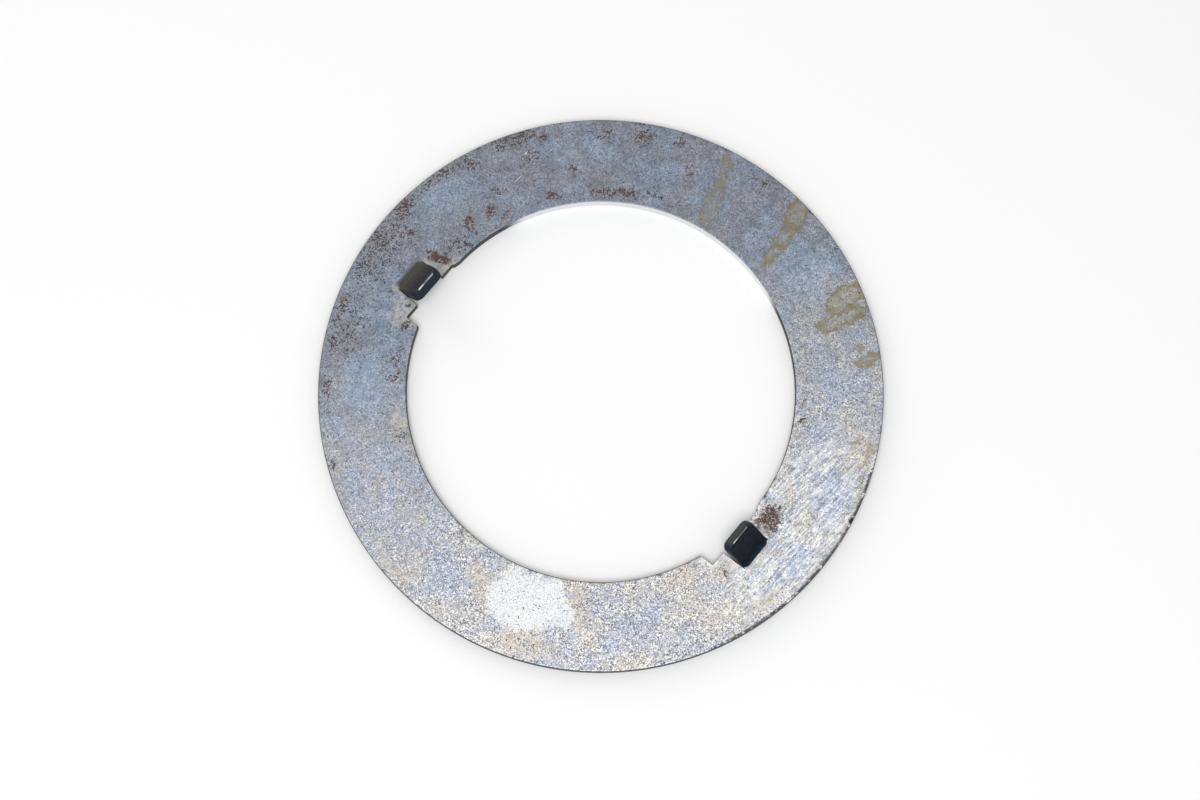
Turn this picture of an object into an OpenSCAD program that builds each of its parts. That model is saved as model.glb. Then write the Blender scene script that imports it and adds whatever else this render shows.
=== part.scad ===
// Thrust washer: a flat stamped ring with two tangs lanced from the bore edge and bent up.
// All sizes are in millimetres. The back face lies on z = 0, the bore axis is the z axis,
// and the two tangs are mirror images about the plane x = 0.

/* [Ring] */
// Outside diameter of the ring
outer_d = 120; // [112:0.5:130]
// Diameter of the bore that goes over the shaft
bore_d = 82.6; // [78:0.1:86]
// Thickness of the sheet
plate_t = 2.5; // [1.5:0.1:3.5]
// Rounding left on the outer and bore edges by tumbling
edge_r = 0.3; // [0.1:0.05:0.5]

/* [Pockets] */
// Width of the flat-floored pocket that each tang stands in
pocket_w = 15.2; // [13:0.1:18]
// Depth of the pocket floor beyond the bore, measured on the ring's own centre line
pocket_depth = 0.7; // [0.4:0.05:1.5]
// Distance of pocket and tang from the ring's centre line, towards -y
tang_offset = 6.7; // [4:0.1:9]

/* [Tangs] */
// Width of a tang
tang_w = 7.8; // [6:0.1:10]
// Straight length of a tang beyond its bend
tang_l = 6.4; // [4.5:0.1:8]
// Angle a tang is bent up out of the ring
bend_angle = 50; // [30:1:70]
// Bend radius on the hollow side
bend_r = 1; // [0.5:0.1:2]
// Width of the lanced slit along each side of a tang
slit_w = 0.2; // [0.1:0.05:0.5]
// Radius of the two corners at a tang's free end
corner_r = 1.5; // [0.5:0.1:2]
// Rounding of the two edges across a tang's free end
tip_r = 0.7; // [0.2:0.05:0.7]
// Space between the tip of a tang and the bore cylinder, so that the shaft passes
tip_gap = 0.05; // [0:0.05:0.5]

/* [Hidden] */
$fa = 2;
$fs = 0.25;
outer_r = outer_d / 2;
bore_r = bore_d / 2;
floor_x = bore_r + pocket_depth;
pocket_y = -tang_offset - pocket_w / 2;
tang_y = -tang_offset - tang_w / 2;
window_w = tang_w + 2 * slit_w;
// Side of the tang nearest the centre line, without the part its corner rounding takes off
near_y = max(0, tang_offset - tang_w / 2 + corner_r);
// Inward reach of the bend, the straight leaf and the leaf's own thickness, less the tip rounding
tip_round_off = tip_r * (sin(bend_angle) + cos(bend_angle) - 1);
tang_reach = (bend_r + plate_t) * sin(bend_angle) + tang_l * cos(bend_angle) - tip_round_off;
// Distance of the bend line from the bore axis
tip_x = sqrt(pow(bore_r + tip_gap, 2) - pow(near_y, 2));
root_x = tip_x + tang_reach;
bend_axis_z = plate_t + bend_r;
// Far side of the wedge that cuts the bend's sector out of a full ring
bend_far = 2 * bend_axis_z;
// Overlength of a cutting shape past the face it opens
cut_over = 1;
// Length of a tang that lies inside the ring behind its bend line
root_lap = 1;

// Rectangle from the origin with all four corners rounded
module rounded_bar(length, height, radius) {
    translate([radius, 0])
        square([length - 2 * radius, height]);
    translate([0, radius])
        square([length, height - 2 * radius]);
    for (x = [radius, length - radius], y = [radius, height - radius])
        translate([x, y])
            circle(r = radius);
}

// Rectangle from the origin with only the two corners at its x = 0 end rounded
module rounded_tongue(length, height, radius) {
    translate([radius, 0])
        square([length - radius, height]);
    translate([0, radius])
        square([length, height - 2 * radius]);
    for (y = [radius, height - radius])
        translate([radius, y])
            circle(r = radius);
}

// Plain ring turned from its section
module ring() {
    rotate_extrude()
        translate([bore_r, 0])
            rounded_bar(outer_r - bore_r, plate_t, edge_r);
}

// Space punched out of the ring for one tang: the pocket and the window behind it
module tang_opening() {
    translate([0, pocket_y, -cut_over])
        cube([floor_x, pocket_w, plate_t + 2 * cut_over]);
    translate([0, tang_y - slit_w, -cut_over])
        cube([root_x, window_w, plate_t + 2 * cut_over]);
}

// Section of the bend, about its own axis: a ring sector from straight down to the leaf
module bend_section() {
    intersection() {
        difference() {
            circle(r = bend_r + plate_t);
            circle(r = bend_r);
        }
        polygon([
            [0, 0],
            [0, -bend_far],
            [-bend_far * tan(bend_angle / 2), -bend_far],
            [-bend_far * sin(bend_angle), -bend_far * cos(bend_angle)]
        ]);
    }
}

// Section of a whole tang: the lap inside the ring, the bend and the straight leaf
module tang_section() {
    translate([0, -bend_r - plate_t])
        square([root_lap, plate_t]);
    bend_section();
    rotate(-bend_angle)
        translate([-tang_l, -bend_r - plate_t])
            rounded_tongue(tang_l, plate_t, tip_r);
}

// Sharp corner that is taken off the free end of a flat leaf, at the origin
module tip_corner() {
    difference() {
        translate([-cut_over, -cut_over, -cut_over])
            cube([corner_r + cut_over, corner_r + cut_over, plate_t + 2 * cut_over]);
        translate([corner_r, corner_r, -2 * cut_over])
            cylinder(r = corner_r, h = plate_t + 4 * cut_over);
    }
}

// One tang in its place on the +x side
module tang() {
    translate([root_x, -tang_offset, bend_axis_z]) {
        difference() {
            rotate([90, 0, 0])
                linear_extrude(tang_w, center = true)
                    tang_section();
            for (side = [0, 1])
                rotate([0, bend_angle, 0])
                    mirror([0, side, 0])
                        translate([-tang_l, -tang_w / 2, -bend_axis_z])
                            tip_corner();
        }
    }
}

// The whole washer
module thrust_washer() {
    color([0.55, 0.58, 0.63]) {
        difference() {
            ring();
            tang_opening();
            mirror([1, 0, 0])
                tang_opening();
        }
        tang();
        mirror([1, 0, 0])
            tang();
    }
}

thrust_washer();
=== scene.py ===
"""Dresses the thrust washer: a stamped steel ring with two lanced tangs, lying on a pale studio floor."""

import logging
import math
from dataclasses import dataclass, field
from enum import Enum

import bmesh
import bpy
from mathutils import Matrix, Vector
from mathutils.geometry import delaunay_2d_cdt


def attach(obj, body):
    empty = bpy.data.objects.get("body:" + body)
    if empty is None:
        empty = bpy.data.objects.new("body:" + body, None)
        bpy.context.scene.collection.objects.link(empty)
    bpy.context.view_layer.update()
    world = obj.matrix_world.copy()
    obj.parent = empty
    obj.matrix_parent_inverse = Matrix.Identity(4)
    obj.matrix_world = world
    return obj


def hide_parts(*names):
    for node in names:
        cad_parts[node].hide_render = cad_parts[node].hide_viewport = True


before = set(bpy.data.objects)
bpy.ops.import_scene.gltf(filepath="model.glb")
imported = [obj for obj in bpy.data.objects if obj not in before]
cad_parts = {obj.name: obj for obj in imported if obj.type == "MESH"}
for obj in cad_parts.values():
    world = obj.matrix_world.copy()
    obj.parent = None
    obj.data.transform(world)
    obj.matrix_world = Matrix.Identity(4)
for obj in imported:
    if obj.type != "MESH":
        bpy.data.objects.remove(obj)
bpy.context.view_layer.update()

LOG = logging.getLogger("thrust_washer")
MM = 0.001
TINY = 1e-6
VIEW_TURN = math.radians(39.5)

Rgb = tuple[float, float, float]
Triple = tuple[float, float, float]
Point2 = tuple[float, float]
Loop = list[Point2]
Socket = bpy.types.NodeSocket

FLAT: Triple = (1.0, 1.0, 0.0)


def from_viewer(place: Triple) -> Vector:
    """Turns a place from the viewer's axes to the washer's."""
    return Matrix.Rotation(VIEW_TURN, 3, "Z") @ Vector(place)


class StainKind(Enum):
    """What a mark on the front face is made of."""

    RUST = "rust"
    OCHRE = "ochre"
    CREAM = "cream"
    BARE = "bare"
    BLUE = "blue"
    SCUFF = "scuff"
    SCRATCH = "scratch"
    NICK = "nick"


class EdgeKind(Enum):
    """The kinds of edge along the blank's outline."""

    RIM = "rim"
    POCKET = "pocket"
    SLIT = "slit"
    ROOT = "root"
    TANG = "tang"
    CORNER = "corner"
    TIP = "tip"


class SheetSide(Enum):
    """The two faces of the sheet, by the depth that the mesh stores for them."""

    BACK = 0.0
    FRONT = 1.0


@dataclass(frozen=True)
class Stain:
    """One mark on the front face, in millimetres, in axes turned to face the viewer."""

    name: str
    centre: Point2
    half_length: float
    half_width: float
    turn_deg: float = 0.0
    strength: float = 1.0


@dataclass(frozen=True)
class SteelFinish:
    """Colours and gloss of the worn ring, with the painted sheen, glints and highlights that it carries."""

    old_blue: Rgb = (0.183, 0.228, 0.296)
    old_grey: Rgb = (0.184, 0.196, 0.228)
    # Worn steel colours: real wear, made paler still as a painted sheen towards the lower right.
    worn_sheen_blue: Rgb = (0.380, 0.427, 0.522)
    worn_sheen_cream: Rgb = (0.528, 0.505, 0.462)
    # Pale flecks of bare metal, also used as painted glints.
    fleck_and_glint: Rgb = (0.730, 0.718, 0.690)
    pit: Rgb = (0.078, 0.066, 0.068)
    crack: Rgb = (0.100, 0.100, 0.118)
    # Burr along the slits and pockets, painted bright as an edge highlight too.
    burr_and_highlight: Rgb = (0.400, 0.382, 0.350)
    # Polished steel of the bore wall, also the painted highlight along the tang ridges.
    polished_and_highlight: Rgb = (0.760, 0.765, 0.775)
    metallic: float = 0.80
    roughness: float = 0.46
    specular: float = 0.25
    polished_metallic: float = 0.90
    polished_roughness: float = 0.35
    bump_strength: float = 0.5
    bump_height: float = 0.04


@dataclass(frozen=True)
class MarkFinish:
    """Colours of rust, stains and grime, and of the painted shadow along the rim."""

    rust_dark: Rgb = (0.062, 0.040, 0.036)
    rust_brown: Rgb = (0.108, 0.062, 0.051)
    rust_red: Rgb = (0.126, 0.043, 0.035)
    rust_haze: Rgb = (0.268, 0.244, 0.240)
    rust_grey: Rgb = (0.046, 0.038, 0.040)
    ochre_line: Rgb = (0.185, 0.150, 0.056)
    ochre_wash: Rgb = (0.262, 0.252, 0.196)
    cream: Rgb = (0.545, 0.487, 0.400)
    bare: Rgb = (0.610, 0.628, 0.652)
    # Grime and nicks, also the painted shadow along the rim towards the lower right.
    grime_and_shade: Rgb = (0.024, 0.023, 0.024)
    roughness: float = 0.85


@dataclass(frozen=True)
class BlackFinish:
    """The dark finish that is left on the tangs and on the sheared walls, with painted reflections and shadow
    on the tangs and painted shade on the rounded edges.
    """

    tang: Rgb = (0.007, 0.012, 0.019)
    tang_dust: Rgb = (0.014, 0.020, 0.029)
    # Painted brown reflection on the left tang's face, and painted shade past its root.
    tang_reflection_and_root_shade: Rgb = (0.058, 0.053, 0.043)
    # Painted reflection on the right tang's end face.
    tang_end_reflection: Rgb = (0.125, 0.125, 0.112)
    root_halo: Rgb = (0.220, 0.205, 0.180)
    # Black finish of the sheared walls, also painted shade on their rounded top edges.
    wall: Rgb = (0.016, 0.017, 0.020)
    burnish: Rgb = (0.082, 0.084, 0.090)
    metallic: float = 0.75
    roughness: float = 0.24
    matte_metallic: float = 0.15
    matte_roughness: float = 0.62
    wall_metallic: float = 0.1
    wall_roughness: float = 0.50


@dataclass(frozen=True)
class FloorFinish:
    """The pale studio floor."""

    colour: Rgb = (0.965, 0.975, 0.985)
    roughness: float = 0.9


STAINS: dict[StainKind, tuple[Stain, ...]] = {
    StainKind.RUST: (
        Stain("rim cluster north west", (-42.3, 39.9), 3.8, 2.5, 58.0, 0.72),
        Stain("rim trail north west", (-35.0, 46.6), 6.0, 1.6, 38.0, 0.52),
        Stain("rim spot north", (-28.3, 50.4), 2.2, 1.5, 20.0, 0.60),
        Stain("rim trail north", (-18.5, 55.4), 6.5, 2.0, 16.0, 0.60),
        Stain("rim haze north", (-15.0, 51.8), 3.5, 2.0, 10.0, 0.45),
        Stain("rim patch top", (0.4, 56.6), 2.8, 1.8, 0.0, 0.58),
        Stain("rim patch top right", (9.4, 56.2), 3.4, 2.2, -10.0, 0.60),
        Stain("rim spot top right", (17.2, 54.8), 1.8, 1.2, -20.0, 0.62),
        Stain("haze top right", (19.5, 47.8), 2.2, 1.8, 0.0, 0.42),
        Stain("spot right of the top", (35.7, 45.4), 1.3, 0.9, 30.0, 0.55),
        Stain("rim spot north east", (50.8, 31.0), 1.3, 0.8, 60.0, 0.62),
        Stain("specks over the middle", (-6.6, 48.6), 1.8, 1.2, 0.0, 0.58),
        Stain("red patch", (-24.1, 39.4), 2.3, 1.3, 70.0, 0.92),
        Stain("red trail", (-28.4, 36.2), 2.8, 1.3, 110.0, 0.72),
        Stain("bore trail west", (-20.4, 38.2), 2.0, 1.0, 25.0, 0.62),
        Stain("bore spot west", (-10.4, 42.6), 2.6, 1.2, 8.0, 0.66),
        Stain("bore trail top", (3.0, 43.4), 7.2, 1.2, -2.0, 0.72),
        Stain("bore trail tail", (12.0, 42.6), 3.6, 0.7, -10.0, 0.55),
        Stain("patch at the left tang", (-34.9, 28.7), 3.2, 1.5, -14.0, 1.00),
        Stain("specks over the left tang", (-31.0, 31.6), 3.4, 2.0, 40.0, 0.50),
        Stain("rim cluster west", (-47.6, 33.0), 4.2, 2.4, 55.0, 0.58),
        Stain("rim cluster low west", (-50.3, 27.4), 4.4, 2.6, 62.0, 0.56),
        Stain("rim trail west", (-55.4, 17.5), 4.6, 1.6, 72.0, 0.56),
        Stain("rim spots west", (-57.4, 10.0), 2.6, 1.3, 80.0, 0.50),
        Stain("rim spot far west", (-58.2, 0.2), 3.2, 1.1, 90.0, 0.58),
        Stain("rim spot south west", (-56.4, -16.7), 1.6, 0.9, 110.0, 0.56),
        Stain("pocket spot", (-41.0, 18.2), 1.1, 0.7, 30.0, 0.78),
        Stain("pocket corner", (-41.3, 13.8), 1.3, 0.9, 40.0, 0.80),
        Stain("bore smudge west", (-43.2, 6.6), 2.3, 1.4, 80.0, 0.62),
        Stain("scratch at the bore", (-44.0, 2.6), 2.2, 0.7, 12.0, 0.66),
        Stain("bore smudge low", (-41.9, -9.9), 2.2, 1.3, 110.0, 0.48),
        Stain("specks south west", (-30.0, -31.0), 1.8, 1.4, 0.0, 0.48),
        Stain("dark spot south west", (-28.2, -38.8), 0.5, 0.5, 0.0, 0.80),
        Stain("dark spot east", (42.7, -6.8), 0.9, 0.6, 40.0, 0.85),
        Stain("smudge east", (43.0, -3.4), 1.6, 0.6, 75.0, 0.50),
        Stain("patch at the right tang", (34.7, -28.6), 5.0, 3.0, 58.0, 0.93),
        Stain("spot below the right tang", (25.7, -39.4), 0.6, 0.5, 0.0, 0.90),
        Stain("lone spot north west", (-40.7, 34.8), 0.9, 0.8, 0.0, 0.90),
        Stain("speckled north west", (-46.5, 31.0), 12.0, 5.0, 58.0, 0.42),
        Stain("speckled west", (-53.6, 13.5), 10.0, 4.4, 76.0, 0.39),
        Stain("olive specks north", (-21.8, 44.0), 2.2, 1.4, 0.0, 0.52),
        Stain("rim spot by the blue", (-33.8, 48.2), 1.4, 1.0, 40.0, 0.80),
        Stain("bore edge west", (-28.6, 31.6), 1.4, 0.9, 35.0, 0.78),
        Stain("spot left of the pocket", (-45.3, 21.0), 0.9, 0.7, 60.0, 0.88),
        Stain("spot below the pocket", (-47.2, 17.2), 0.7, 0.6, 0.0, 0.70),
        Stain("spot north west of the top", (-12.4, 56.0), 1.6, 1.2, 0.0, 0.74),
    ),
    StainKind.OCHRE: (
        Stain("dried streak upper", (26.6, 48.2), 3.8, 1.0, 72.0, 0.66),
        Stain("dried streak lower", (24.0, 40.8), 4.8, 1.8, 66.0, 0.64),
        Stain("dried drop", (42.2, 38.2), 4.1, 2.2, 60.0, 1.00),
        Stain("dried drop middle", (39.6, 33.6), 3.3, 1.8, 62.0, 0.95),
        Stain("dried drop tail", (36.8, 29.6), 3.2, 1.2, 46.0, 0.95),
        Stain("dried ring upper", (52.2, 19.8), 4.8, 2.5, 36.0, 1.00),
        Stain("dried ring lower", (51.4, 15.2), 5.4, 1.9, 22.0, 1.00),
        Stain("dried rim drop", (57.0, 6.4), 2.9, 1.1, 22.0, 0.95),
        Stain("dried spot at the rim", (55.0, 8.9), 1.1, 0.6, 10.0, 0.70),
        Stain("olive fleck upper", (53.4, -11.8), 1.4, 0.4, 5.0, 0.62),
        Stain("olive fleck at the rim", (56.4, -14.2), 2.6, 0.5, 58.0, 0.62),
        Stain("olive fleck below", (55.0, -20.2), 1.4, 0.4, 70.0, 0.56),
    ),
    StainKind.CREAM: (
        Stain("pale haze at the rim", (54.6, -14.4), 6.4, 3.0, 68.0, 0.42),
        Stain("tan edge left of the bare patch", (-25.0, -42.0), 5.2, 2.4, 100.0, 0.75),
        Stain("tan edge below the bare patch", (-16.0, -54.0), 7.0, 2.4, -14.0, 0.90),
        Stain("tan edge right of the bare patch", (-4.4, -47.0), 5.0, 2.2, 80.0, 0.70),
        Stain("cream by the right pocket", (26.4, -37.8), 3.2, 1.7, 40.0, 0.85),
        Stain("cream by the bore", (17.5, -39.6), 3.4, 1.8, 25.0, 0.60),
        Stain("tan by the rim", (34.6, -45.2), 4.0, 2.0, 35.0, 0.75),
        Stain("cream behind the right tang", (33.4, -36.3), 3.8, 1.0, 50.5, 0.65),
        Stain("cream over the right tang", (38.8, -24.2), 2.2, 1.6, 60.0, 0.50),
        Stain("cream by the left pocket", (-42.6, 17.6), 4.4, 2.2, 70.0, 0.42),
        Stain("cream over the left tang", (-34.0, 26.6), 2.6, 0.9, 45.0, 0.30),
        Stain("cream at the bore west", (-42.8, -7.4), 2.4, 1.6, 100.0, 0.55),
        Stain("cream rim south west", (-43.0, -38.6), 5.0, 1.4, 130.0, 0.50),
    ),
    StainKind.BARE: (
        Stain("bare patch", (-15.0, -45.6), 8.6, 6.4, 6.0, 1.00),
        Stain("bare patch left corner", (-20.2, -43.4), 5.6, 3.6, 58.0, 0.90),
        Stain("bare patch bore corner", (-18.2, -40.2), 3.6, 2.0, 40.0, 0.80),
        Stain("bare patch right corner", (-9.6, -44.2), 4.2, 2.6, 85.0, 0.92),
        Stain("bare patch low corner", (-8.6, -48.2), 3.6, 2.8, 20.0, 0.80),
    ),
    StainKind.BLUE: (
        Stain("blue north west", (-34.5, 43.0), 8.0, 4.5, 40.0, 0.35),
        Stain("blue west", (-50.5, 0.0), 9.5, 6.0, 90.0, 1.00),
        Stain("blue north", (-6.0, 52.0), 7.0, 4.0, 0.0, 0.70),
        Stain("blue south west", (-31.5, -39.0), 6.0, 4.2, 120.0, 1.00),
        Stain("blue south", (6.8, -52.5), 5.6, 4.4, 30.0, 1.00),
        Stain("blue south east", (48.0, -25.0), 6.0, 4.0, 60.0, 0.90),
        Stain("blue by the rim", (41.0, -36.0), 4.0, 3.4, 45.0, 0.90),
        Stain("blue north east", (46.0, 24.0), 8.0, 5.0, 60.0, 0.75),
        Stain("blue east", (48.5, -1.0), 8.0, 5.0, 85.0, 0.60),
        Stain("blue low west", (-47.0, -20.0), 9.0, 5.0, 112.0, 0.60),
    ),
    StainKind.SCUFF: (
        Stain("scuffed south east", (41.0, -28.5), 28.0, 13.0, 56.0, 1.00),
    ),
    StainKind.SCRATCH: (
        Stain("short scratch north", (-16.2, 52.4), 0.75, 0.17, 52.0, 1.00),
        Stain("long scratch north", (-17.9, 46.5), 1.60, 0.12, 50.0, 0.55),
    ),
    StainKind.NICK: (
        Stain("nick in the rim", (52.5, -28.4), 0.85, 0.60, 60.0, 1.00),
        Stain("black spot in the left pocket", (-41.0, 18.2), 0.55, 0.40, 40.0, 0.70),
        Stain("black spot below the left pocket", (-41.4, 13.6), 0.60, 0.45, 20.0, 0.60),
        Stain("nick above the right tang", (34.4, -23.2), 0.35, 0.30, 0.0, 0.80),
    ),
}


class Value:
    """A signal in a node graph. Arithmetic with it adds Math nodes."""

    def __init__(self, graph: "NodeGraph", socket: Socket) -> None:
        """Keeps the graph and the socket that the signal comes from."""
        self.graph = graph
        self.socket = socket

    def __add__(self, other: "Signal") -> "Value":
        """Adds a signal."""
        return self.graph.math("ADD", self, other)

    def __sub__(self, other: "Signal") -> "Value":
        """Takes a signal away."""
        return self.graph.math("SUBTRACT", self, other)

    def __rsub__(self, other: float) -> "Value":
        """Takes this signal away from a number."""
        return self.graph.math("SUBTRACT", other, self)

    def __mul__(self, other: "Signal") -> "Value":
        """Multiplies by a signal."""
        return self.graph.math("MULTIPLY", self, other)

    def __truediv__(self, other: "Signal") -> "Value":
        """Divides by a signal."""
        return self.graph.math("DIVIDE", self, other)

    def __abs__(self) -> "Value":
        """Drops the sign."""
        return self.graph.math("ABSOLUTE", self)


Signal = Value | float | str | Triple
Feeds = dict[int | str, Signal]
# Numbers of a Mix node's sockets, whose names repeat for each kind of data.
MIX_SHARE, MIX_VALUE_A, MIX_VALUE_B, MIX_COLOUR_A, MIX_COLOUR_B = 0, 2, 3, 6, 7
MIXED_COLOUR = 2


class NodeGraph:
    """Builds a node tree with short calls, one for each step of a recipe."""

    def __init__(self, tree: bpy.types.NodeTree) -> None:
        """Keeps the tree to fill and empties it."""
        self.tree = tree
        tree.nodes.clear()

    def feed(self, target: Socket, signal: Signal) -> None:
        """Links a socket to a signal, or sets its value.

        Args:
            target: The input socket.
            signal: A signal, or a plain value.
        """
        if isinstance(signal, Value):
            self.tree.links.new(signal.socket, target)
        else:
            target.default_value = (*signal, 1.0) if target.type == "RGBA" else signal

    def add(self, kind: str, feeds: Feeds, **settings: object) -> bpy.types.Node:
        """Adds a node, sets its own properties and feeds its inputs.

        Args:
            kind: The node's type name.
            feeds: Signals by the name or number of the input.
            settings: Properties of the node.

        Returns:
            The new node.
        """
        node = self.tree.nodes.new(kind)
        for name, value in settings.items():
            setattr(node, name, value)
        for name, signal in feeds.items():
            self.feed(node.inputs[name], signal)
        return node

    def out(self, kind: str, feeds: Feeds, output: int | str = 0, **settings: object) -> Value:
        """Adds a node as add does, and follows the output with this name or number."""
        return Value(self, self.add(kind, feeds, **settings).outputs[output])

    def given(self) -> dict[str, Value]:
        """Adds a group's input node and returns its signals by name."""
        return {s.name: Value(self, s) for s in self.add("NodeGroupInput", {}).outputs}

    def math(self, operation: str, a: Signal, b: Signal = 0.0, clamp: bool = False) -> Value:
        """Adds one Math node, whose result may be kept between 0 and 1."""
        return self.out("ShaderNodeMath", {0: a, 1: b}, operation=operation, use_clamp=clamp)

    def most(self, a: Signal, b: Signal) -> Value:
        """Takes the larger of two values."""
        return self.math("MAXIMUM", a, b)

    def least(self, a: Signal, b: Signal) -> Value:
        """Takes the smaller of two values."""
        return self.math("MINIMUM", a, b)

    def vector(self, operation: str, a: Signal, b: Signal = (0.0, 0.0, 0.0)) -> Value:
        """Adds one Vector Math node, which gives a vector or a number."""
        output = "Value" if operation in ("LENGTH", "DOT_PRODUCT") else "Vector"
        return self.out("ShaderNodeVectorMath", {0: a, 1: b}, output, operation=operation)

    def split(self, vector: Value) -> list[Value]:
        """Takes a vector apart into its three numbers."""
        return [Value(self, s) for s in self.add("ShaderNodeSeparateXYZ", {0: vector}).outputs]

    def step(self, value: Signal, low: Signal, high: Signal) -> Value:
        """Rises smoothly from 0 at low to 1 at high."""
        feeds = {"Value": value, "From Min": low, "From Max": high}
        return self.out("ShaderNodeMapRange", feeds, "Result", interpolation_type="SMOOTHSTEP", clamp=True)

    def noise(
        self, place: Value, per_mm: float, detail: float, rough: float, curl: float = 0.0, output: str = "Fac"
    ) -> Value:
        """Adds a Noise Texture.

        Args:
            place: Coordinates in millimetres.
            per_mm: Features for each millimetre.
            detail: Number of finer layers.
            rough: Weight of the finer layers.
            curl: How far the pattern winds.
            output: Fac for one value, Color for three.

        Returns:
            The pattern.
        """
        feeds = {"Vector": place, "Scale": per_mm, "Detail": detail, "Roughness": rough, "Distortion": curl}
        return self.out("ShaderNodeTexNoise", feeds, output, noise_dimensions="3D")

    def mix(self, share: Signal, a: Signal, b: Signal, blend: str = "MIX") -> Value:
        """Mixes two colours.

        Args:
            share: How much of the second colour shows.
            a: First colour.
            b: Second colour.
            blend: Way of blending.

        Returns:
            The mixed colour.
        """
        feeds = {MIX_SHARE: share, MIX_COLOUR_A: a, MIX_COLOUR_B: b}
        way = {"data_type": "RGBA", "blend_type": blend, "clamp_factor": True}
        return self.out("ShaderNodeMix", feeds, MIXED_COLOUR, **way)

    def blend(self, share: Signal, a: Signal, b: Signal) -> Value:
        """Mixes two plain values; share says how much of the second one shows."""
        feeds = {MIX_SHARE: share, MIX_VALUE_A: a, MIX_VALUE_B: b}
        return self.out("ShaderNodeMix", feeds, data_type="FLOAT", clamp_factor=True)

    def attribute(self, name: str) -> Value:
        """Reads a value that the mesh stores on its points."""
        return self.out("ShaderNodeAttribute", {}, "Fac", attribute_type="GEOMETRY", attribute_name=name)


@dataclass
class WasherSizes:
    """The washer's sizes in millimetres, as the solid has them."""

    outer_r: float = 60.0
    bore_r: float = 41.3
    plate_t: float = 2.5
    edge_r: float = 0.3
    pocket_w: float = 15.2
    pocket_depth: float = 0.7
    tang_offset: float = 6.7
    tang_w: float = 7.8
    tang_l: float = 6.4
    bend_deg: float = 50.0
    bend_r: float = 1.0
    slit_w: float = 0.2
    corner_r: float = 1.5
    tip_r: float = 0.7
    tip_gap: float = 0.05

    @property
    def bend(self) -> float:
        """Bend angle in radians."""
        return math.radians(self.bend_deg)

    @property
    def floor_x(self) -> float:
        """Distance of a pocket's floor from the bore axis."""
        return self.bore_r + self.pocket_depth

    @property
    def bend_run(self) -> float:
        """Length of flat sheet that the bend takes up, at the middle of its thickness."""
        return (self.bend_r + self.plate_t / 2) * self.bend

    @property
    def root_x(self) -> float:
        """Distance of a tang's bend line from the bore axis.

        Returns:
            The distance in millimetres.
        """
        near_y = max(0.0, self.tang_offset - self.tang_w / 2 + self.corner_r)
        tip_x = math.sqrt((self.bore_r + self.tip_gap) ** 2 - near_y ** 2)
        sine, cosine = math.sin(self.bend), math.cos(self.bend)
        round_off = self.tip_r * (sine + cosine - 1)
        reach = (self.bend_r + self.plate_t) * sine + self.tang_l * cosine - round_off
        return tip_x + reach


@dataclass
class RimPoint:
    """One point of the blank's outline, with the rounding of the edge there."""

    x: float
    y: float
    rounding: float
    burr_and_highlight: float = 0.0
    ridge_highlight_and_wear: float = 0.0


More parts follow.
